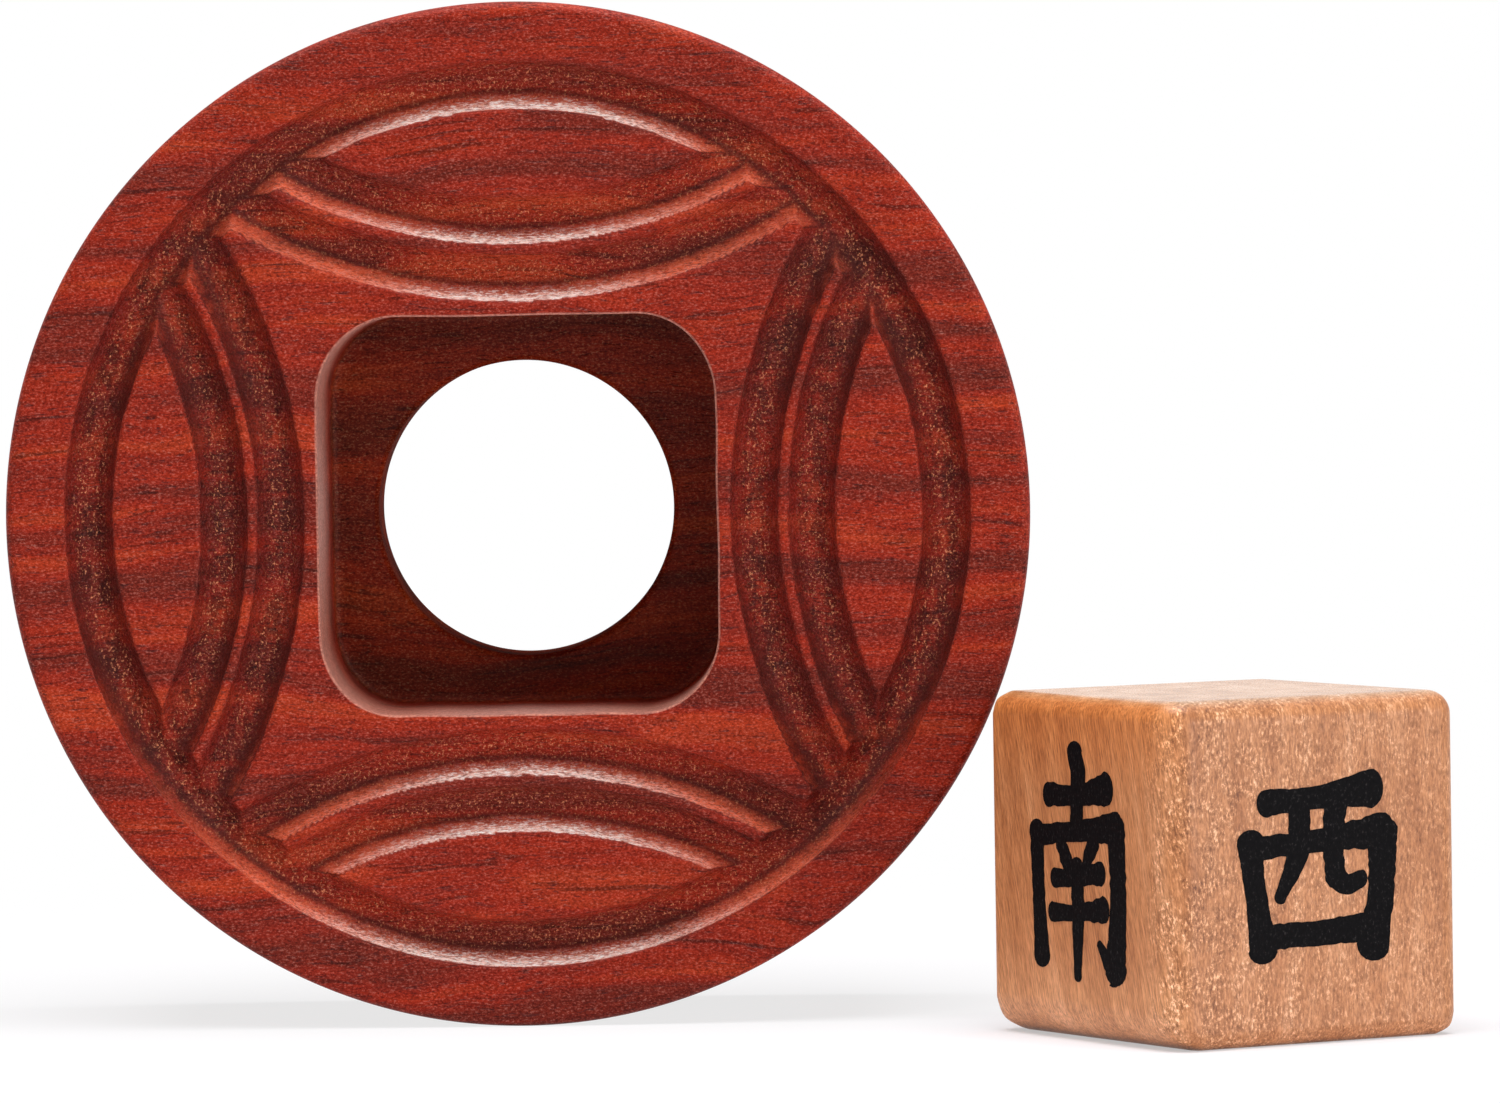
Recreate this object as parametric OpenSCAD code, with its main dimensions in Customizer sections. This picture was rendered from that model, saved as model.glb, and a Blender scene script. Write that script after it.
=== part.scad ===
// Mahjong wind indicator: a round carved holder that stands on its rim, and a wooden cube beside it.
// Millimetres, +Z up. The holder's carved face looks along -Y, and the table is the plane z = 0.
// The origin is the middle of the set's footprint on the table.

/* [Wind cube] */
// Side of the cube
cube_side = 20; // [16:0.5:24]
// Rounding of the cube's edges and corners
cube_round = 1.4; // [0.5:0.1:3]

/* [Holder] */
// Diameter of the round holder
holder_d = 61; // [56:0.5:75]
// Rounding of the holder's two outer edges
rim_round = 0.6; // [0.2:0.1:2]

/* [Pocket] */
// Depth of the pocket, front face to pocket floor
pocket_depth = 14; // [8:0.5:18]
// Thickness of the wood left behind the pocket floor
floor_t = 6; // [3:0.5:10]
// Free space between the seated cube and each pocket wall
pocket_clearance = 1.85; // [0.5:0.05:3]
// Corner radius of the pocket
pocket_corner = 4.8; // [2:0.1:8]
// Diameter of the hole through which a finger pushes the cube out
push_hole_d = 18; // [10:0.5:20]

/* [Carving] */
// Diameter of the round-nosed cutter that carves every groove
cutter_d = 3; // [2:0.1:4]
// Depth of the ring groove
ring_depth = 1.2; // [0.4:0.1:1.4]
// Depth of the arc grooves
arc_depth = 1.1; // [0.4:0.1:1.4]
// Plain band between the holder's rim and the ring groove
rim_band = 3.5; // [1.5:0.1:5]
// Plain land between a pocket wall and the nearest arc groove
pocket_land = 0.8; // [0.3:0.1:2]
// Ridge left between the two arc grooves of a pair
arc_ridge = 0.5; // [0.2:0.1:1.5]
// Centreline radius of the arc groove nearest the pocket
arc_r = 31.35; // [26:0.05:40]

/* [Layout] */
// Turn of the cube about the vertical, so that two of its faces show
cube_turn = 31; // [0:1:45]
// How far the cube reaches in across the holder's side, seen from the front
cube_reach = 2.5; // [0:0.1:6]
// Space between the holder's front face and the nearest edge of the cube
cube_front_gap = 5.7; // [1:0.1:20]

/* [Hidden] */
$fn = 96;
// Overshoot of a cut past the face that it opens
cut_over = 1;
sides = 4;

holder_t = pocket_depth + floor_t;
pocket_w = cube_side + 2 * pocket_clearance;

// Widths that the round nose leaves at the face
ring_w = 2 * sqrt(ring_depth * (cutter_d - ring_depth));
arc_w = 2 * sqrt(arc_depth * (cutter_d - arc_depth));
ring_r = holder_d / 2 - rim_band - ring_w / 2;

// The two arcs of a side share one centre, which lies outside the holder
inner_arc_mid = pocket_w / 2 + pocket_land + arc_w / 2;
arc_pitch = arc_w + arc_ridge;
arc_centre = inner_arc_mid + arc_r;
arc_radii = [arc_r, arc_r - arc_pitch];

// Half the angle of an arc about its own centre, from its middle to the ring groove's centreline
function arc_half_angle(r) = acos((arc_centre ^ 2 + r ^ 2 - ring_r ^ 2) / (2 * arc_centre * r));

// Reach of the turned, rounded cube from its own axis
cube_core = cube_side / 2 - cube_round;
cube_extent = cube_core * (cos(cube_turn) + sin(cube_turn)) + cube_round;
cube_back_extent = cube_core * (cos(cube_turn) - sin(cube_turn)) + cube_round;

// Places measured from the foot of the holder's axis, on its front face
cube_x = holder_d / 2 + cube_extent - cube_reach;
cube_y = -(cube_front_gap + cube_back_extent);
set_mid_x = (cube_x + cube_extent - holder_d / 2) / 2;
set_mid_y = (cube_y - cube_extent + max(holder_t, cube_y + cube_extent)) / 2;

// Square outline with round corners, centred
module rounded_square(w, r) {
    square([w, w - 2 * r], center = true);
    square([w - 2 * r, w], center = true);
    for (i = [-1, 1], j = [-1, 1])
        translate([i, j] * (w / 2 - r))
            circle(r);
}

// Round blank, turned with its two outer edges rounded; its back lies on z = 0
module blank() {
    rotate_extrude() {
        square([holder_d / 2 - rim_round, holder_t]);
        translate([0, rim_round])
            square([holder_d / 2, holder_t - 2 * rim_round]);
        for (z = [rim_round, holder_t - rim_round])
            translate([holder_d / 2 - rim_round, z])
                circle(rim_round);
    }
}

// Pocket for the cube, and the push-out hole through its floor
module pocket() {
    translate([0, 0, floor_t])
        linear_extrude(pocket_depth + cut_over)
            rounded_square(pocket_w, pocket_corner);
    translate([0, 0, -cut_over])
        cylinder(h = floor_t + 2 * cut_over, d = push_hole_d);
}

// Path of the round nose along the ring, just inside the rim band
module ring_groove() {
    rotate_extrude()
        translate([ring_r, holder_t - ring_depth + cutter_d / 2])
            circle(d = cutter_d);
}

// Path of the round nose along one arc, from the ring groove round past the pocket and back to the ring
module arc_groove(r) {
    half = arc_half_angle(r);
    translate([0, arc_centre, 0])
        rotate_extrude(angle = 2 * half, start = 270 - half)
            translate([r, holder_t - arc_depth + cutter_d / 2])
                circle(d = cutter_d);
}

// Coin-shaped ornament: a ring and, on each side of the pocket, a pair of arcs that bow towards it
module carving() {
    ring_groove();
    for (side = [0 : sides - 1])
        rotate([0, 0, side * 360 / sides])
            for (r = arc_radii)
                arc_groove(r);
}

// Cube with every edge and corner rounded, centred
module rounded_cube(side, r) {
    span = side - 2 * r;
    for (slab = [[side, span, span], [span, side, span], [span, span, side]])
        cube(slab, center = true);
    for (axis = [[0, 0, 0], [90, 0, 0], [0, 90, 0]])
        rotate(axis)
            for (i = [-1, 1], j = [-1, 1])
                translate([i, j, 0] * span / 2)
                    cylinder(h = span, r = r, center = true);
    for (i = [-1, 1], j = [-1, 1], k = [-1, 1])
        translate([i, j, k] * span / 2)
            sphere(r);
}

// Turned and carved rosewood block, stood up on its rim
module holder() {
    color([0.55, 0.17, 0.11])
        translate([-set_mid_x, holder_t - set_mid_y, holder_d / 2])
            rotate([90, 0, 0])
                difference() {
                    blank();
                    pocket();
                    carving();
                }
}

// Loose maple cube, standing on the table beside the holder
module wind_cube() {
    color([0.82, 0.62, 0.44])
        translate([cube_x - set_mid_x, cube_y - set_mid_y, cube_side / 2])
            rotate([0, 0, cube_turn])
                rounded_cube(cube_side, cube_round);
}

holder();
wind_cube();
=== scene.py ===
import math

import bmesh
import bpy
from mathutils import Matrix, Quaternion, Vector, geometry, noise


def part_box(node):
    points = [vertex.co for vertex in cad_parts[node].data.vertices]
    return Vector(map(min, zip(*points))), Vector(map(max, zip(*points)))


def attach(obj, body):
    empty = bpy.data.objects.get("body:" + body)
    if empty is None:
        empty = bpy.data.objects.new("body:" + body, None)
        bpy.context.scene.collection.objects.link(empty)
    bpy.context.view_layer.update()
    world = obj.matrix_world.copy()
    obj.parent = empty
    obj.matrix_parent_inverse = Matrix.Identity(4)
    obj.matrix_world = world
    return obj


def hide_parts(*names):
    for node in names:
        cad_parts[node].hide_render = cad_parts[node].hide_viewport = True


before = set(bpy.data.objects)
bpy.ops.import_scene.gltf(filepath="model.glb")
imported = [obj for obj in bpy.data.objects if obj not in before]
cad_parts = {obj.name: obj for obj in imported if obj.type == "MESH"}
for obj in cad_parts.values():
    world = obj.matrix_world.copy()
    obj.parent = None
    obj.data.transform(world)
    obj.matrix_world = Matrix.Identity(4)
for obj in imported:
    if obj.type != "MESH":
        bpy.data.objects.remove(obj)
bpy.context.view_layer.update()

# Camera. A long lens about half a metre in front of the carved face, a little above the set's middle,
# aimed at the face, right of its middle, and held nearly level.
MM = 0.001
holder_lo, holder_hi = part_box("holder")
holder_mid = (holder_lo + holder_hi) / 2
face_y = holder_lo.y
back_y = holder_hi.y
PHOTO_W = 1500
FOCAL_PX = 8924
SENSOR_W = 36
eye_away = 530 * MM
eye_right = 21.38 * MM
eye_height = 47.34 * MM
aim_right = 13.80 * MM
aim_height = 28.12 * MM
camera_tilt = math.radians(-0.89)
eye = Vector((holder_mid.x + eye_right, face_y - eye_away, eye_height))
aim = Vector((holder_mid.x + aim_right, face_y, aim_height))

lens = bpy.data.cameras.new("camera")
lens.sensor_fit = "HORIZONTAL"
lens.sensor_width = SENSOR_W
lens.lens = SENSOR_W * FOCAL_PX / PHOTO_W
lens.clip_start = 0.02
lens.clip_end = 20
camera = bpy.data.objects.new("camera", lens)
bpy.context.collection.objects.link(camera)
camera.rotation_mode = "QUATERNION"
camera.rotation_quaternion = (aim - eye).to_track_quat("-Z", "Y") @ Quaternion((0, 0, 1), camera_tilt)
camera.location = eye
bpy.context.scene.camera = camera
bpy.context.scene.view_settings.view_transform = "Standard"

# Holder. A disc of red rosewood turned on a lathe, its face carved with a ball-nosed cutter into a coin
# ornament, with a milled square pocket and a bored finger hole; sanded, with a glossy coat and painted
# highlights on the carving's upward ledges.
SECTORS = 640
CARVED_RINGS = 100
ROUND_STEPS = 5
SMALL_ROUND_STEPS = 3
holder_r = (holder_hi.x - holder_lo.x) / 2
rim_round = 0.6 * MM
pocket_half = 11.85 * MM
pocket_corner = 4.8 * MM
pocket_depth = 14 * MM
mouth_round = 0.2 * MM
mouth_wander = 0.12 * MM
mouth_waves = 3
foot_round = 0.4 * MM
hole_r = 9 * MM
hole_round = 0.25 * MM
cutter_r = 1.5 * MM
ring_depth = 1.2 * MM
arc_depth = 1.1 * MM
rim_band = 3.5 * MM
carving_margin = 0.2 * MM
pocket_land = 0.8 * MM
arc_ridge = 0.5 * MM
inner_arc_r = 31.35 * MM
lip_round = 0.035 * MM
hand_wander = 0.08 * MM
hand_wander_length = 6 * MM
torn_fibre = 0.06 * MM
torn_fibre_length = 0.8 * MM
land_slope = 3
cut_least = 0.02
# Pocket walls: their pale share falls from this height above the floor, over this rise, to this least share,
# as painted shade.
floor_shade_start = 1.5 * MM
floor_shade_rise = 7 * MM
floor_shade_least = 0.05
HAND_SEED = 7
noise.seed_set(HAND_SEED)


def groove_width(depth):
    """Width that the ball nose leaves at the face."""
    return 2 * math.sqrt(depth * (2 * cutter_r - depth))


ring_r = holder_r - rim_band - groove_width(ring_depth) / 2
arc_centre = pocket_half + pocket_land + groove_width(arc_depth) / 2 + inner_arc_r
arcs = []
for arc_r in (inner_arc_r, inner_arc_r - groove_width(arc_depth) - arc_ridge):
    half_turn = math.acos((arc_centre**2 + arc_r**2 - ring_r**2) / (2 * arc_centre * arc_r))
    arcs.append((arc_r, half_turn))


def nose_depth(off_line, depth):
    """Depth of the ball nose below the face at a distance from its path; negative clear of the groove."""
    if off_line < cutter_r:
        return math.sqrt(cutter_r**2 - off_line**2) - cutter_r + depth
    return depth - cutter_r - land_slope * (off_line - cutter_r)


def carved_depth(u, w):
    """Depth of the carving at a point of the face, its lips torn a little by the cutter and softened."""
    place = Vector((u, w, 0))
    drift = noise.noise_vector(place / hand_wander_length) * hand_wander
    drift += noise.noise_vector(place / torn_fibre_length) * torn_fibre
    u += drift.x
    w += drift.y
    cut = nose_depth(abs(math.hypot(u, w) - ring_r), ring_depth)
    for across, out in ((u, w), (w, -u), (-u, -w), (-w, u)):
        if out <= 0:
            continue
        turn = abs(math.atan2(across, arc_centre - out))
        reach = math.hypot(across, arc_centre - out)
        for arc_r, half_turn in arcs:
            off_line = abs(reach - arc_r)
            if turn > half_turn:
                end_across = arc_r * math.sin(half_turn)
                end_out = arc_centre - arc_r * math.cos(half_turn)
                off_line = math.hypot(abs(across) - end_across, out - end_out)
            cut = max(cut, nose_depth(off_line, arc_depth))
    return (cut + math.hypot(cut, lip_round)) / 2


def pocket_outline(angle, grow):
    """Distance from the axis to the pocket's wall, a square with round corners, grown by a margin."""
    half = pocket_half + grow
    corner = pocket_corner + grow
    c = abs(math.cos(angle))
    s = abs(math.sin(angle))
    straight = half / max(c, s)
    middle = half - corner
    if straight * min(c, s) > middle:
        straight = middle * (c + s) + math.sqrt(corner**2 - (middle * (c - s)) ** 2)
    around = Vector((math.cos(angle), math.sin(angle), 0)) * mouth_waves
    return straight + mouth_wander * noise.noise(around)


def blend(a, b, t):
    """Value a share t of the way from a to b."""
    return a + (b - a) * t


# Each entry makes one ring of the holder's skin: its radius at an angle, and its place along the axis.
rings = []
# Out from the pocket's mouth over the carved face and the plain band.
for step in range(ROUND_STEPS + 1):
    turn = math.pi / 2 * step / ROUND_STEPS
    out = mouth_round * (1 - math.cos(turn))
    y = face_y + mouth_round * (1 - math.sin(turn))
    rings.append((lambda a, out=out: pocket_outline(a, out), y))
band_r = holder_r - rim_band + carving_margin
for step in range(1, CARVED_RINGS + 1):
    t = step / CARVED_RINGS
    rings.append((lambda a, t=t: blend(pocket_outline(a, mouth_round), band_r, t), face_y))
last_carved = len(rings)
for t in (0.1, 0.5, 0.95, 1):
    r = blend(band_r, holder_r - rim_round, t)
    rings.append((lambda a, r=r: r, face_y))
# Round the rim and its two edges.
for y_edge, way in ((face_y, 1), (back_y, -1)):
    for step in range(1, ROUND_STEPS + 1):
        turn = math.pi / 2 * (step if way > 0 else ROUND_STEPS - step) / ROUND_STEPS
        r = holder_r - rim_round * (1 - math.sin(turn))
        rings.append((lambda a, r=r: r, y_edge + way * rim_round * (1 - math.cos(turn))))
    if way > 0:
        for t in (0.02, 0.5, 0.98, 1):
            y = blend(face_y + rim_round, back_y - rim_round, t)
            rings.append((lambda a: holder_r, y))
# In over the back.
for t in (0.02, 0.5, 0.97, 1):
    r = blend(holder_r - rim_round, hole_r + hole_round, t)
    rings.append((lambda a, r=r: r, back_y))
# Through the hole and round its two edges.
floor_y = face_y + pocket_depth
first_bored = len(rings) + 1
for y_edge, way in ((back_y, -1), (floor_y, 1)):
    for step in range(1, SMALL_ROUND_STEPS + 1):
        turn = math.pi / 2 * (step if way < 0 else SMALL_ROUND_STEPS - step) / SMALL_ROUND_STEPS
        r = hole_r + hole_round * (1 - math.sin(turn))
        rings.append((lambda a, r=r: r, y_edge + way * hole_round * (1 - math.cos(turn))))
    if way < 0:
        for t in (0.05, 0.95, 1):
            rings.append((lambda a: hole_r, blend(back_y - hole_round, floor_y + hole_round, t)))
# Out over the pocket's floor.
first_floor = len(rings)
for t in (0.04, 0.5, 0.9, 1):
    rings.append((lambda a, t=t: blend(hole_r + hole_round, pocket_outline(a, -foot_round), t), floor_y))
# Round the foot of the pocket's walls and up to the mouth.
first_milled = len(rings)
for step in range(1, SMALL_ROUND_STEPS + 1):
    turn = math.pi / 2 * step / SMALL_ROUND_STEPS
    out = -foot_round * (1 - math.sin(turn))
    y = floor_y - foot_round * (1 - math.cos(turn))
    rings.append((lambda a, out=out: pocket_outline(a, out), y))
for t in (0.03, 0.15, 0.3, 0.45, 0.6, 0.8, 0.97):
    y = blend(floor_y - foot_round, face_y + mouth_round, t)
    rings.append((lambda a: pocket_outline(a, 0), y))

bm = bmesh.new()
carved = bm.verts.layers.float.new("carved")
fuzz_and_sheen = bm.verts.layers.float.new("fuzz_and_sheen")
bored = bm.verts.layers.float.new("bored")
recess_shade = bm.verts.layers.float.new("recess_shade")
upward = bm.verts.layers.float.new("upward")
sideways = bm.verts.layers.float.new("sideways")
end_grain = bm.verts.layers.float.new("end_grain")
stand_up = Matrix.Translation((holder_mid.x, 0, holder_mid.z)) @ Matrix.Rotation(math.pi / 2, 4, "X")
loop = bmesh.ops.create_circle(bm, segments=SECTORS, radius=pocket_half, matrix=stand_up)["verts"]
first_edges = loop_edges = list(bm.edges)
for index, (radius, y) in enumerate(rings):
    if index:
        grown = bmesh.ops.extrude_edge_only(bm, edges=loop_edges)["geom"]
        loop = [g for g in grown if isinstance(g, bmesh.types.BMVert)]
        own = set(loop)
        loop_edges = [g for g in grown if isinstance(g, bmesh.types.BMEdge) and own.issuperset(g.verts)]
    for v in loop:
        angle = math.atan2(v.co.z - holder_mid.z, v.co.x - holder_mid.x)
        r = radius(angle)
        u = r * math.cos(angle)
        w = r * math.sin(angle)
        depth = carved_depth(u, w) if ROUND_STEPS <= index <= last_carved else 0
        v.co = (holder_mid.x + u, y + depth, holder_mid.z + w)
        v[carved] = depth / ring_depth
        on_wall = index >= first_milled or index < ROUND_STEPS - 1
        # Walls: share of the pale colour, falling towards the floor as painted shade.
        above_floor = floor_y - y - floor_shade_start
        v[fuzz_and_sheen] = min(max(above_floor / floor_shade_rise, floor_shade_least), 1) if on_wall else 0
        v[bored] = float(first_bored <= index < first_floor)
        # Bore, pocket floor and the foot of its walls: where shade in the recess is painted.
        v[recess_shade] = float(first_bored <= index < first_milled + SMALL_ROUND_STEPS - 1)
bmesh.ops.bridge_loops(bm, edges=first_edges + loop_edges)
bmesh.ops.recalc_face_normals(bm, faces=bm.faces)
# Which way each carved point faces and where it lies round the disc; the material paints highlights, shade
# and glints from these.
for v in bm.verts:
    if v[carved] > cut_least:
        v[upward] = v.normal.z
        v[sideways] = abs(v.normal.x)
        out = v.co - holder_mid
        v[end_grain] = abs(out.x) / math.hypot(out.x, out.z)
for f in bm.faces:
    f.smooth = True


def make_piece(name, bm):
    """Put a finished mesh into the scene as an object of its own."""
    mesh = bpy.data.meshes.new(name)
    bm.to_mesh(mesh)
    bm.free()
    piece = bpy.data.objects.new(name, mesh)
    bpy.context.collection.objects.link(piece)
    return piece


holder = make_piece("carved_holder", bm)


def add_node(tree, kind, inputs=(), **settings):
    """Add a node, set its options, and give each named input a value or a link."""
    made = tree.nodes.new(kind)
    for name, value in settings.items():
        setattr(made, name, value)
    for name, value in dict(inputs).items():
        if isinstance(value, bpy.types.NodeSocket):
            tree.links.new(value, made.inputs[name])
        else:
            made.inputs[name].default_value = value
    return made


def grain(tree, point, stretch, scale, detail, rough=0.55):
    """Noise drawn out along the fibres: stretch scales each axis of the point, in millimetres."""
    drawn = add_node(tree, "ShaderNodeMapping", {"Vector": point, "Scale": stretch}).outputs[0]
    made = add_node(tree, "ShaderNodeTexNoise",
                    {"Vector": drawn, "Scale": scale, "Detail": detail, "Roughness": rough})
    return made.outputs["Fac"]


def ramp(tree, factor, stops):
    """Colour ramp with its stops as (place, linear colour)."""
    made = add_node(tree, "ShaderNodeValToRGB", {"Fac": factor})
    points = made.color_ramp.elements
    while len(points) < len(stops):
        points.new(0.5)
    for point, (place, colour) in zip(points, stops):
        point.position = place
        point.color = (*colour, 1)
    return made.outputs["Color"]


def mix(tree, factor, a, b, way="MIX"):
    """Mix two colours; any of the three may be a value or a link."""
    inputs = {0: factor, 6: a, 7: b}
    return add_node(tree, "ShaderNodeMix", inputs, data_type="RGBA", blend_type=way).outputs[2]


def window(tree, factor, low, high, to_low=0.0, to_high=1.0):
    """Stretch a band of a factor to a new range, clamped."""
    span = {"Value": factor, "From Min": low, "From Max": high, "To Min": to_low, "To Max": to_high}
    return add_node(tree, "ShaderNodeMapRange", span).outputs[0]


def math_node(tree, way, a, b):
    """Sum, product or other arithmetic of two factors."""
    return add_node(tree, "ShaderNodeMath", {0: a, 1: b}, operation=way).outputs[0]


def mark(tree, name):
    """Value on the holder's points under a name: where tools cut, and where light and shade are painted."""
    return add_node(tree, "ShaderNodeAttribute", attribute_name=name).outputs["Fac"]


def new_material(name):
    """New material with its node tree and its shader."""
    made = bpy.data.materials.new(name)
    made.use_nodes = True
    tree = made.node_tree
    return made, tree, tree.nodes["Principled BSDF"]


# The wood itself: bands and veins along the fibres, which run from side to side, with streaks and pores.
place_in_log = (300, 0, 20)
fibre_sway = (0, 5, 5)
rosewood, tree, shader = new_material("rosewood")
spot = add_node(tree, "ShaderNodeTexCoord").outputs["Object"]
in_log = {"Vector": spot, "Location": place_in_log, "Scale": (1 / MM, 1 / MM, 1 / MM)}
point = add_node(tree, "ShaderNodeMapping", in_log).outputs[0]
drift = add_node(tree, "ShaderNodeTexNoise", {"Vector": point, "Scale": 0.05, "Detail": 2.0}).outputs["Color"]
sway = add_node(tree, "ShaderNodeVectorMath", {0: drift, 1: fibre_sway}, operation="MULTIPLY").outputs[0]
fibre = add_node(tree, "ShaderNodeVectorMath", {0: point, 1: sway}, operation="ADD").outputs[0]
band = grain(tree, fibre, (0.05, 0.6, 1), 0.5, 2.0, 0.5)
vein = grain(tree, fibre, (0.012, 0.7, 1), 2.4, 3.0, 0.6)
streak = grain(tree, fibre, (0.06, 0.7, 1), 3.4, 5.0, 0.7)
pore = window(tree, grain(tree, fibre, (0.1, 1, 1), 8.0, 1.0), 0.62, 0.72)
speck = grain(tree, point, (0.6, 1, 1), 8.5, 2.0, 0.8)
red = ramp(tree, band, ((0.35, (0.168, 0.014, 0.006)), (0.44, (0.219, 0.015, 0.006)),
                        (0.49, (0.275, 0.017, 0.006)), (0.57, (0.315, 0.019, 0.005)),
                        (0.65, (0.390, 0.034, 0.008))))
red = mix(tree, 0.75, red, ramp(tree, vein, ((0.34, (0.35, 0.38, 0.36)), (0.41, (1, 1, 1)))), "MULTIPLY")
streaks = ramp(tree, streak, ((0.32, (0.5, 0.5, 0.5)), (0.5, (1, 1, 1)), (0.68, (1.5, 1.6, 1.5))))
red = mix(tree, 0.5, red, streaks, "MULTIPLY")
red = mix(tree, math_node(tree, "MULTIPLY", pore, 0.6), red, (0.05, 0.006, 0.006, 1))
red = mix(tree, 0.9, red, ramp(tree, speck, ((0.34, (0.38, 0.34, 0.34)), (0.5, (1, 1, 1)),
                                             (0.66, (1.25, 1.35, 1.4)))), "MULTIPLY")
# Painted glints: the brightest specks lifted towards a pale pink, as sheen.
painted_face_glint = window(tree, speck, 0.55, 0.72, 0.0, 0.32)
red = mix(tree, painted_face_glint, red, (0.60, 0.30, 0.23, 1))
# Carved grooves: darker where the cutter crossed the fibres, with scorched patches; flanks that face sideways
# painted darker as shade, and painted glints in the troughs.
depth = mark(tree, "carved")
cut_mask = window(tree, depth, cut_least, 0.15)
across = mark(tree, "end_grain")
soaked = ramp(tree, across, ((0.55, (1, 1, 1)), (0.85, (0.88, 0.84, 0.86))))
cut_red = mix(tree, 1.0, red, soaked, "MULTIPLY")
# Painted shade: flanks that face sideways darker.
flank = mark(tree, "sideways")
painted_flank_shade = ramp(tree, flank, ((0.12, (1, 1, 1)), (0.4, (0.78, 0.69, 0.80)), (0.8, (0.70, 0.60, 0.74))))
cut_red = mix(tree, 1.0, cut_red, painted_flank_shade, "MULTIPLY")
patch = grain(tree, point, (1, 1, 0.6), 1.2, 3.0, 0.7)
scorch = ramp(tree, patch, ((0.42, (0.36, 0.36, 0.33)), (0.54, (1, 1, 1))))
trough = window(tree, depth, 0.6, 0.9, 0.0, 0.8)
trough = math_node(tree, "MULTIPLY", trough, window(tree, across, 0.45, 0.75))
cut_red = mix(tree, trough, cut_red, mix(tree, 1.0, cut_red, scorch, "MULTIPLY"))
# Painted glints: bright orange specks in the troughs, spread wider on the side grooves.
painted_glint = window(tree, grain(tree, point, (1, 1, 0.8), 7.0, 2.0, 0.7), 0.58, 0.70)
low = window(tree, across, 0.45, 0.75, 0.15, 0.6)
painted_glint = math_node(tree, "MULTIPLY", painted_glint, window(tree, depth, low, 0.9, 0.12, 0.9))
cut_red = mix(tree, painted_glint, cut_red, (0.80, 0.30, 0.14, 1))
# Ledges that look upward: a painted shadow line at their foot, then a painted highlight, paler towards the
# lip and broken into grains, with painted sparkles.
rise = mark(tree, "upward")
# Painted shadow: a dark line where the upper lip's shadow ends, at the foot of the ledge.
painted_shadow_line = window(tree, rise, 0.3, 0.42, 0.6, 0.0)
painted_shadow_line = math_node(tree, "MULTIPLY", window(tree, rise, 0.05, 0.2), painted_shadow_line)
cut_red = mix(tree, painted_shadow_line, cut_red, (0.05, 0.006, 0.004, 1))
highlight_grain = grain(tree, point, (0.35, 1, 1), 7.0, 3.0, 0.8)
painted_highlight = math_node(tree, "MULTIPLY", window(tree, rise, 0.28, 0.68), window(tree, highlight_grain, 0.40, 0.54, 0.2, 1))
painted_highlight_colour = ramp(tree, rise, ((0.3, (0.36, 0.04, 0.02)), (0.58, (0.54, 0.125, 0.07)),
                         (0.78, (0.84, 0.44, 0.35)), (0.92, (1.0, 0.80, 0.72))))
painted_highlight_colour = mix(tree, window(tree, across, 0.25, 0.55, 0.0, 0.95), painted_highlight_colour, (0.74, 0.115, 0.042, 1))
painted_highlight = math_node(tree, "MULTIPLY", painted_highlight, window(tree, across, 0.58, 0.8, 1.0, 0.3))
cut_red = mix(tree, painted_highlight, cut_red, painted_highlight_colour)
# Painted sparkles: white specks on the painted highlight.
painted_sparkle = window(tree, grain(tree, point, (0.3, 1, 1), 9.0, 2.0, 0.75), 0.50, 0.58)
painted_sparkle = math_node(tree, "MULTIPLY", painted_sparkle, window(tree, across, 0.2, 0.5, 1.0, 0.15))
painted_sparkle = math_node(tree, "MULTIPLY", painted_sparkle, window(tree, rise, 0.35, 0.8, 0.2, 1))
cut_red = mix(tree, math_node(tree, "MULTIPLY", painted_sparkle, painted_highlight), cut_red, (1.0, 0.90, 0.85, 1))
red = mix(tree, cut_mask, red, cut_red)
# Pocket: walls pale with fuzz left by the mill and a painted sheen, fading towards the floor into painted
# shade; floor, foot and hole painted darker and browner, as shade in the recess.
# Fuzz and painted sheen on the walls, its share falling towards the floor as painted shade.
fuzz_and_sheen_colour = ramp(tree, speck, ((0.35, (0.32, 0.110, 0.08)), (0.65, (0.70, 0.295, 0.215))))
fuzz_and_sheen_colour = mix(tree, 0.6, fuzz_and_sheen_colour, streaks, "MULTIPLY")
red = mix(tree, math_node(tree, "MULTIPLY", mark(tree, "fuzz_and_sheen"), 0.85), red, fuzz_and_sheen_colour)
# Painted shade: the pocket's floor, foot and bore darker and browner, as shade in the recess.
recess_shaded_red = mix(tree, 1.0, red, (0.68, 0.88, 0.6, 1), "MULTIPLY")
red = mix(tree, mark(tree, "recess_shade"), red, recess_shaded_red)
tree.links.new(red, shader.inputs["Base Color"])
# Finish: satin outside, dull in the bore, with a glossy coat on the ledges where the highlight is painted.
rough = math_node(tree, "MAXIMUM", window(tree, speck, 0.3, 0.7, 0.5, 0.35), mark(tree, "bored"))
tree.links.new(rough, shader.inputs["Roughness"])
shader.inputs["Specular IOR Level"].default_value = 0.12
glossy = math_node(tree, "MULTIPLY", painted_highlight, window(tree, rise, 0.48, 0.78))
glossy = math_node(tree, "MULTIPLY", glossy, window(tree, across, 0.2, 0.55, 1.0, 0.0))
glossy = math_node(tree, "MULTIPLY", glossy, window(tree, painted_sparkle, 0.0, 0.6, 0.35, 1.0))
tree.links.new(glossy, shader.inputs["Coat Weight"])
shader.inputs["Coat Roughness"].default_value = 0.2
shader.inputs["Coat IOR"].default_value = 2.1
relief = math_node(tree, "ADD", math_node(tree, "MULTIPLY", streak, 0.6), speck)
relief = math_node(tree, "SUBTRACT", relief, pore)
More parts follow.
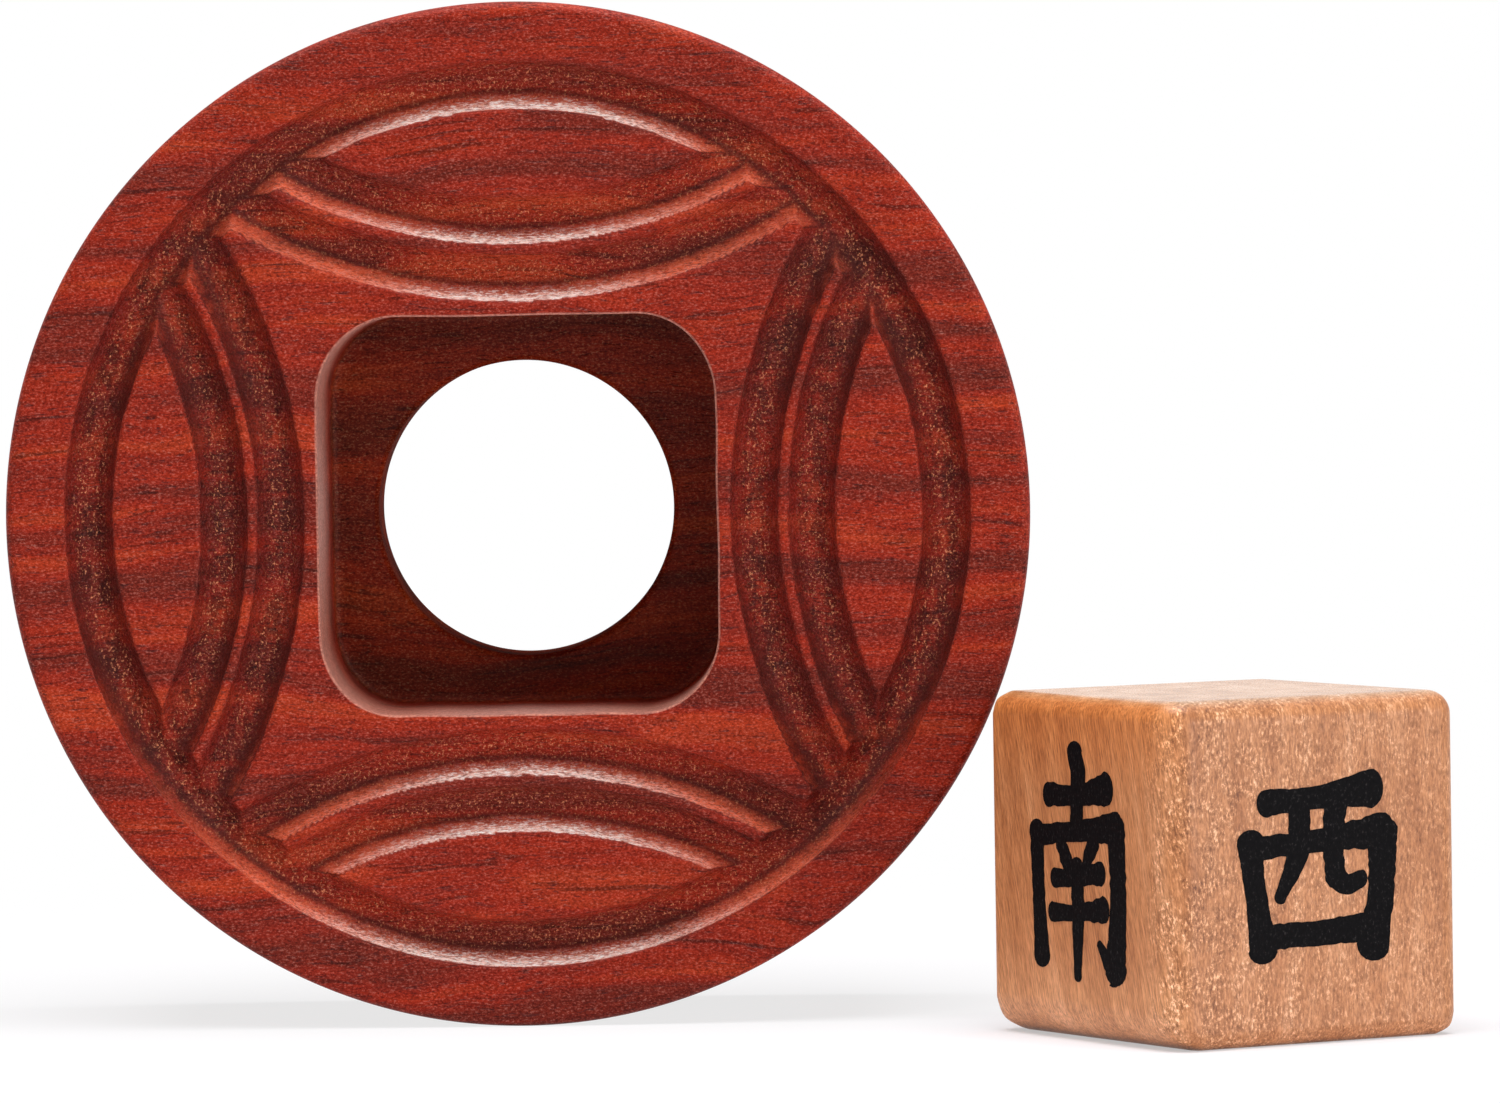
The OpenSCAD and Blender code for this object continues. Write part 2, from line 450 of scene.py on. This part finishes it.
rough_cut = math_node(tree, "MULTIPLY", cut_mask, math_node(tree, "MULTIPLY", speck, 2.0))
relief = math_node(tree, "ADD", relief, rough_cut)
bump = add_node(tree, "ShaderNodeBump", {"Height": relief, "Strength": 0.5, "Distance": 0.1 * MM})
tree.links.new(bump.outputs[0], shader.inputs["Normal"])
tree.links.new(bump.outputs[0], shader.inputs["Coat Normal"])
holder.data.materials.append(rosewood)
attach(holder, "holder")
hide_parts("holder")

# Wind cube. A block of pale maple, its fibres leaning a little in one pair of faces, with edges rounded by
# hand on a sander, some more than others; it stands loose on the table, turned so that two faces show.
cube_lo, cube_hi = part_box("wind_cube")
cube_mid = (cube_lo + cube_hi) / 2
cube_side = cube_hi.z - cube_lo.z
cube_turn = math.radians(31)
cube_place = Matrix.Translation(cube_mid) @ Matrix.Rotation(cube_turn, 4, "Z")
fibre_lean = math.radians(13)
usual_round = 1.4 * MM
widest_round = 2.4 * MM
# Hand-sanded edges that differ from the usual rounding, by the sides that they join (-1 low, 1 high).
own_round = {(-1, -1, 0): 1.9 * MM, (-1, 0, -1): widest_round, (0, -1, -1): 1.1 * MM, (-1, 0, 1): 1.3 * MM}

bm = bmesh.new()
bmesh.ops.create_cube(bm, size=cube_side)
weight = bm.edges.layers.float.new("bevel_weight_edge")
for e in bm.edges:
    middle = (e.verts[0].co + e.verts[1].co) / cube_side
    sides = tuple(round(c) for c in middle)
    e[weight] = own_round.get(sides, usual_round) / widest_round
bmesh.ops.transform(bm, matrix=cube_place, verts=bm.verts)
for f in bm.faces:
    f.smooth = True
cube = make_piece("maple_cube", bm)
sanded = cube.modifiers.new("sanded_edges", "BEVEL")
sanded.limit_method = "WEIGHT"
sanded.width = widest_round
sanded.segments = 8
sanded.profile = 0.5
cube.modifiers.new("steady_faces", "WEIGHTED_NORMAL")


def cube_point(tree):
    """Place in the cube's own axes, in millimetres from its middle."""
    spot = add_node(tree, "ShaderNodeTexCoord").outputs["Object"]
    own_axes = {"Vector": spot, "Location": cube_mid, "Rotation": (0, 0, cube_turn), "Scale": (MM, MM, MM)}
    return add_node(tree, "ShaderNodeMapping", own_axes, vector_type="TEXTURE").outputs[0]


# The wood itself: a soft figure and fine lines along the fibres.
maple, tree, shader = new_material("maple")
point = cube_point(tree)
leaning = add_node(tree, "ShaderNodeMapping", {"Vector": point, "Rotation": (fibre_lean, 0, 0)}).outputs[0]
figure = grain(tree, leaning, (1, 0.8, 0.06), 0.55, 3.0, 0.6)
fine = grain(tree, leaning, (1, 1, 0.1), 8.0, 3.0, 0.7)
fleck = grain(tree, leaning, (1, 1, 0.55), 5.5, 3.0, 0.7)
cloud = grain(tree, point, (1, 1, 0.6), 0.9, 2.0)
tan = ramp(tree, figure, ((0.34, (0.41, 0.145, 0.046)), (0.5, (0.52, 0.205, 0.075)),
                          (0.66, (0.61, 0.270, 0.118))))
tan = mix(tree, 1.0, tan, ramp(tree, fine, ((0.34, (0.62, 0.55, 0.48)), (0.5, (1, 1, 1)),
                                            (0.66, (1.3, 1.42, 1.6)))), "MULTIPLY")
# One side shows a lace of pale flecks. The side on its left is painted lighter and warmer and the others
# darker, as light falls on them; that side's foot is painted paler still, as light thrown up from the sheet,
# and its top golden. The cube's top is planed smooth and painted pale, as a sheen.
own = add_node(tree, "ShaderNodeSeparateXYZ", {"Vector": point}).outputs
lace = window(tree, own["Y"], -9.2, -7.0, 1, 0)
lace = math_node(tree, "MULTIPLY", lace, window(tree, own["X"], -9, 3, 1, 0.5))
lace = math_node(tree, "MULTIPLY", lace, window(tree, cloud, 0.40, 0.53, 0.15, 1))
flecked = ramp(tree, fleck, ((0.38, (0.50, 0.42, 0.36)), (0.46, (0.86, 0.85, 0.84)),
                             (0.55, (1.0, 1.02, 1.05)), (0.61, (1.75, 2.3, 3.2))))
laced = mix(tree, 1.0, tan, flecked, "MULTIPLY")
tan = mix(tree, lace, tan, laced)
# Painted light: the side on the left lighter and warmer, the others darker.
on_left = window(tree, own["X"], -9.9, -8.5, 1, 0)
tan = mix(tree, 1.0, tan, mix(tree, on_left, (0.93, 0.92, 0.9, 1), (1.16, 1.14, 1.08, 1)), "MULTIPLY")
# Painted light thrown up from the sheet: the left side's foot paler.
painted_foot_light = math_node(tree, "MULTIPLY", on_left, window(tree, own["Z"], -8.5, -4.5, 1, 0))
tan = mix(tree, painted_foot_light, tan, mix(tree, 1.0, tan, (1.3, 1.5, 1.75, 1), "MULTIPLY"))
band = math_node(tree, "MULTIPLY", on_left, window(tree, own["Z"], 4.5, 8.5))
tan = mix(tree, band, tan, mix(tree, 1.0, tan, (1.05, 0.88, 0.62, 1), "MULTIPLY"))
# The top: smoother, and painted pale as a sheen.
smooth_top_and_sheen = window(tree, own["Z"], 9.6, 9.97)
tan = mix(tree, smooth_top_and_sheen, tan, mix(tree, 1.0, tan, (1.08, 1.5, 2.2, 1), "MULTIPLY"))
tree.links.new(tan, shader.inputs["Base Color"])
rough = window(tree, fleck, 0.3, 0.7, 0.55, 0.4)
rough = math_node(tree, "SUBTRACT", rough, math_node(tree, "MULTIPLY", smooth_top_and_sheen, 0.22))
tree.links.new(rough, shader.inputs["Roughness"])
bump = add_node(tree, "ShaderNodeBump", {"Height": fleck, "Strength": 0.25, "Distance": 0.06 * MM})
tree.links.new(bump.outputs[0], shader.inputs["Normal"])
cube.data.materials.append(maple)
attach(cube, "cube")
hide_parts("wind_cube")

# Wind marks. The four winds in black ink, brushed in plain strokes on the cube's four sides and dried to a
# thin film on the wood. A stroke runs through points of (across, up, width), in millimetres from the side's
# middle.
ink_film = 0.04 * MM
ink_proud = 0.02 * MM
STROKE_STEPS = 14
CAP_STEPS = 8
cap_length = 0.8
brush_load = 1.22
end_swell = 0.12
ragged_edge = 0.16
ragged_waves = 2.3
INSIDE_ONLY = 1
weld = 1e-5
south = (
    ((-3.0, 4.2, 1.1), (0.2, 4.3, 1.0), (3.2, 4.8, 1.5)),
    ((-0.1, 6.8, 1.2), (0.2, 5.6, 1.3), (0.0, 2.4, 1.0)),
    ((-4.3, 2.1, 1.2), (-4.2, -1.6, 1.1), (-3.9, -5.2, 1.3)),
    ((-4.3, 1.8, 1.0), (0.0, 2.2, 1.0), (4.2, 2.6, 1.5)),
    ((4.2, 2.6, 1.5), (4.4, -1.4, 1.4), (4.0, -5.6, 1.7)),
    ((4.0, -5.6, 1.6), (3.3, -5.2, 1.0), (2.3, -4.2, 0.4)),
    ((-1.8, 1.4, 0.7), (-1.3, 0.8, 1.0), (-0.9, 0.1, 0.9)),
    ((1.8, 1.6, 1.0), (1.3, 0.9, 0.9), (0.8, 0.1, 0.5)),
    ((-2.4, -0.6, 0.9), (0.0, -0.5, 0.8), (2.5, -0.1, 1.1)),
    ((-2.7, -2.6, 0.9), (0.0, -2.5, 0.8), (2.8, -2.2, 1.2)),
    ((0.0, 0.2, 1.0), (0.05, -2.4, 1.1), (-0.05, -6.2, 0.6)),
)
west = (
    ((-3.5, 4.0, 1.2), (0.0, 4.2, 1.1), (3.7, 4.6, 1.7)),
    ((-4.6, 1.8, 1.4), (-4.3, -1.0, 1.2), (-3.8, -4.4, 1.5)),
    ((-4.6, 1.4, 1.1), (0.0, 1.7, 1.1), (4.5, 2.1, 1.6)),
    ((4.5, 2.0, 1.7), (4.4, -1.0, 1.5), (3.8, -4.5, 1.7)),
    ((-1.2, 4.0, 1.2), (-1.3, 1.2, 1.2), (-2.6, -1.5, 0.6)),
    ((1.3, 4.2, 1.3), (1.1, 1.8, 1.2), (1.2, -0.4, 1.1)),
    ((1.2, -0.4, 1.1), (2.0, -0.9, 1.0), (3.0, -0.6, 0.8)),
    ((-3.8, -3.7, 1.2), (0.0, -3.6, 1.2), (3.9, -3.4, 1.4)),
)
north = (
    ((-4.6, 1.5, 0.9), (-3.0, 1.6, 1.0), (-1.5, 1.9, 1.2)),
    ((-1.4, 4.8, 1.4), (-1.3, 0.5, 1.3), (-1.4, -4.6, 0.9)),
    ((-5.0, -3.4, 1.0), (-3.2, -2.8, 1.3), (-1.3, -1.8, 0.9)),
    ((4.2, 2.9, 1.3), (2.8, 1.8, 1.1), (1.0, 0.6, 0.8)),
    ((0.9, 5.0, 1.4), (0.9, 1.0, 1.3), (1.0, -2.8, 1.3)),
    ((1.0, -2.8, 1.3), (1.7, -4.2, 1.3), (4.0, -4.3, 1.4)),
    ((4.0, -4.3, 1.4), (4.9, -3.8, 1.0), (4.9, -2.3, 0.4)),
)
east = (
    ((-3.7, 3.6, 1.0), (0.0, 3.8, 1.0), (4.0, 4.2, 1.4)),
    ((-2.8, 2.4, 1.2), (-2.7, 0.8, 1.1), (-2.5, -1.2, 1.2)),
    ((-2.8, 2.2, 0.9), (0.0, 2.4, 0.9), (2.9, 2.6, 1.3)),
    ((2.9, 2.6, 1.3), (2.8, 0.8, 1.2), (2.5, -1.2, 1.2)),
    ((-2.6, 0.7, 0.8), (0.0, 0.8, 0.8), (2.6, 0.9, 0.8)),
    ((-2.5, -0.9, 0.9), (0.0, -0.8, 0.9), (2.5, -0.7, 0.9)),
    ((0.0, 5.6, 1.3), (0.05, 0.0, 1.2), (0.0, -5.8, 0.9)),
    ((-0.2, -1.1, 1.0), (-2.2, -3.2, 1.0), (-4.8, -4.7, 0.4)),
    ((0.2, -1.1, 0.6), (2.4, -3.1, 1.3), (5.0, -4.4, 0.7)),
)


def stroke_outline(points):
    """Outline of one brush stroke, smooth through its points and rounded where the brush lands and lifts."""
    knots = [Vector(p) for p in points]
    lean = [knots[min(i + 1, len(knots) - 1)] - knots[max(i - 1, 0)] for i in range(len(knots))]
    lean[0] = lean[1] * 0.5
    lean[-1] = lean[-2] * 0.5
    path = []
    for i in range(len(knots) - 1):
        here, there = knots[i], knots[i + 1]
        reach = (there - here).length / ((lean[i].length + lean[i + 1].length) / 2)
        leave = here + lean[i] * reach / 3
        arrive = there - lean[i + 1] * reach / 3
        path += geometry.interpolate_bezier(here, leave, arrive, there, STROKE_STEPS)[:-1]
    path.append(knots[-1])
    left = []
    right = []
    last = len(path) - 1
    for i, knot in enumerate(path):
        ahead = (path[min(i + 1, last)] - path[max(i - 1, 0)]).to_2d().normalized()
        side = Vector((-ahead.y, ahead.x))
        ragged = 1 + ragged_edge * noise.noise(Vector((knot.x, knot.y, 0)) * ragged_waves)
        knot.z *= brush_load + end_swell * (2 * i / last - 1) ** 4
        left.append(knot.to_2d() + side * knot.z / 2 * ragged)
        right.append(knot.to_2d() - side * knot.z / 2 * (2 - ragged))
    caps = []
    for knot, inner in ((path[-1], path[-2]), (path[0], path[1])):
        ahead = (knot - inner).to_2d().normalized()
        side = Vector((-ahead.y, ahead.x))
        cap = []
        for k in range(1, CAP_STEPS):
            a = math.pi * k / CAP_STEPS
            cap.append(knot.to_2d() + (side * math.cos(a) + ahead * math.sin(a) * cap_length) * knot.z / 2)
        caps.append(cap)
    return (left + caps[0] + right[::-1] + caps[1])[::-1]


ink, tree, shader = new_material("ink")
point = cube_point(tree)
ink_grain_and_glint = grain(tree, point, (1, 1, 0.6), 6.0, 3.0, 0.75)
# Dried ink grain; its lightest specks are painted glints of the glossy ink.
black = ramp(tree, ink_grain_and_glint, ((0.3, (0.0022, 0.002, 0.0024)), (0.58, (0.004, 0.0035, 0.004)),
                           (0.72, (0.035, 0.03, 0.03))))
tree.links.new(black, shader.inputs["Base Color"])
tree.links.new(window(tree, ink_grain_and_glint, 0.3, 0.7, 0.6, 0.42), shader.inputs["Roughness"])
shader.inputs["Specular IOR Level"].default_value = 0.04
bump = add_node(tree, "ShaderNodeBump", {"Height": ink_grain_and_glint, "Strength": 0.2, "Distance": 0.05 * MM})
tree.links.new(bump.outputs[0], shader.inputs["Normal"])

for name, strokes, turn in (("wind_mark_west", west, 0), ("wind_mark_south", south, -90),
                            ("wind_mark_north", north, 90), ("wind_mark_east", east, 180)):
    corners = []
    outlines = []
    for points in strokes:
        edge = stroke_outline(points)
        outlines.append(list(range(len(corners), len(corners) + len(edge))))
        corners += edge
    places, _, tris, _, _, sources = geometry.delaunay_2d_cdt(corners, [], outlines, INSIDE_ONLY, weld)
    bm = bmesh.new()
    spots = [bm.verts.new((v.x * MM, 0, v.y * MM)) for v in places]
    for tri, inside in zip(tris, sources):
        if inside:
            bm.faces.new([spots[k] for k in tri])
    bmesh.ops.delete(bm, geom=[v for v in bm.verts if not v.link_faces], context="VERTS")
    raised = bmesh.ops.extrude_face_region(bm, geom=bm.faces)["geom"]
    film = [g for g in raised if isinstance(g, bmesh.types.BMVert)]
    bmesh.ops.translate(bm, verts=film, vec=(0, -ink_film, 0))
    bmesh.ops.recalc_face_normals(bm, faces=bm.faces)
    against = Matrix.Translation((0, -cube_side / 2 + ink_film - ink_proud, 0))
    bmesh.ops.transform(bm, verts=bm.verts,
                        matrix=cube_place @ Matrix.Rotation(math.radians(turn), 4, "Z") @ against)
    wind_mark = make_piece(name, bm)
    wind_mark.data.materials.append(ink)
    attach(wind_mark, "cube")

# Sheet and light. A seamless white sheet under the set and swept up behind it, a wide soft box overhead,
# a weaker low one at the front right, and faint light from all round.
sheet_half = 0.7
sheet_front = -0.5
sheet_back = 1.1
sheet_rise = 1.2
sheet_bend = 0.35
shadow_near = 0.055
shadow_far = 0.13
shadow_least = 0.78
cube_shadow_near = 0.013
cube_shadow_far = 0.022
cube_shadow_least = 0.6
paper_white = (0.88, 0.86, 0.9, 1)
light_all_round = 0.05

bm = bmesh.new()
ground = Matrix.Translation((0, (sheet_front + sheet_back) / 2, 0))
ground = ground @ Matrix.Diagonal((sheet_half, (sheet_back - sheet_front) / 2, 1, 1))
bmesh.ops.create_grid(bm, x_segments=1, y_segments=1, size=1, matrix=ground)
fold = [e for e in bm.edges if all(v.co.y > sheet_back - 0.01 for v in e.verts)]
swept = bmesh.ops.extrude_edge_only(bm, edges=fold)["geom"]
bmesh.ops.translate(bm, verts=[g for g in swept if isinstance(g, bmesh.types.BMVert)], vec=(0, 0, sheet_rise))
bmesh.ops.bevel(bm, geom=fold, offset=sheet_bend, affect="EDGES", segments=16, profile=0.5, material=-1)
for f in bm.faces:
    f.smooth = True
sheet = make_piece("white_sheet", bm)


def white_share(tree):
    """1 for rays that show the white background: the camera's own, mirrored ones and ones let through."""
    rays = add_node(tree, "ShaderNodeLightPath").outputs
    seen = math_node(tree, "MAXIMUM", rays["Is Camera Ray"], rays["Is Glossy Ray"])
    return math_node(tree, "MAXIMUM", seen, rays["Is Transmission Ray"])


paper = bpy.data.materials.new("white_paper")
paper.use_nodes = True
tree = paper.node_tree
tree.nodes.clear()
spot = add_node(tree, "ShaderNodeTexCoord").outputs["Object"]
away = add_node(tree, "ShaderNodeVectorMath", {0: spot}, operation="LENGTH").outputs["Value"]
lit = window(tree, away, shadow_near, shadow_far, shadow_least, 1.0)
share = math_node(tree, "MULTIPLY", white_share(tree), lit)
to_cube = {0: spot, 1: (cube_mid.x, cube_mid.y, 0)}
by_cube = add_node(tree, "ShaderNodeVectorMath", to_cube, operation="DISTANCE").outputs["Value"]
lit = window(tree, by_cube, cube_shadow_near, cube_shadow_far, cube_shadow_least, 1.0)
share = math_node(tree, "MULTIPLY", share, lit)
matte = add_node(tree, "ShaderNodeBsdfDiffuse", {"Color": paper_white}).outputs[0]
glow = add_node(tree, "ShaderNodeEmission", {"Color": (1, 1, 1, 1), "Strength": 1.0}).outputs[0]
both = add_node(tree, "ShaderNodeMixShader", {0: share, 1: matte, 2: glow}).outputs[0]
add_node(tree, "ShaderNodeOutputMaterial", {"Surface": both})
sheet.data.materials.append(paper)

world = bpy.data.worlds.new("studio")
bpy.context.scene.world = world
world.use_nodes = True
tree = world.node_tree
tree.nodes.clear()
faint = {"Color": (1, 1, 1, 1), "Strength": light_all_round}
around = add_node(tree, "ShaderNodeBackground", faint).outputs[0]
white = add_node(tree, "ShaderNodeBackground", {"Color": (1, 1, 1, 1), "Strength": 1.0}).outputs[0]
both = add_node(tree, "ShaderNodeMixShader", {0: white_share(tree), 1: around, 2: white}).outputs[0]
add_node(tree, "ShaderNodeOutputWorld", {"Surface": both})


def soft_box(name, place, target, width, height, power):
    """One rectangular lamp aimed at a point."""
    lamp = bpy.data.lights.new(name, "AREA")
    lamp.shape = "RECTANGLE"
    lamp.size = width
    lamp.size_y = height
    lamp.energy = power
    made = bpy.data.objects.new(name, lamp)
    bpy.context.collection.objects.link(made)
    made.location = place
    made.rotation_euler = (Vector(target) - Vector(place)).to_track_quat("-Z", "Y").to_euler()


soft_box("overhead_box", place=(0.0, -0.095, 0.53), target=(0, -0.095, 0), width=0.5, height=0.46, power=4.56)
soft_box("front_box", place=(0.49, -0.41, 0.05), target=(0, 0, 0.03), width=0.3, height=0.3, power=2.35)
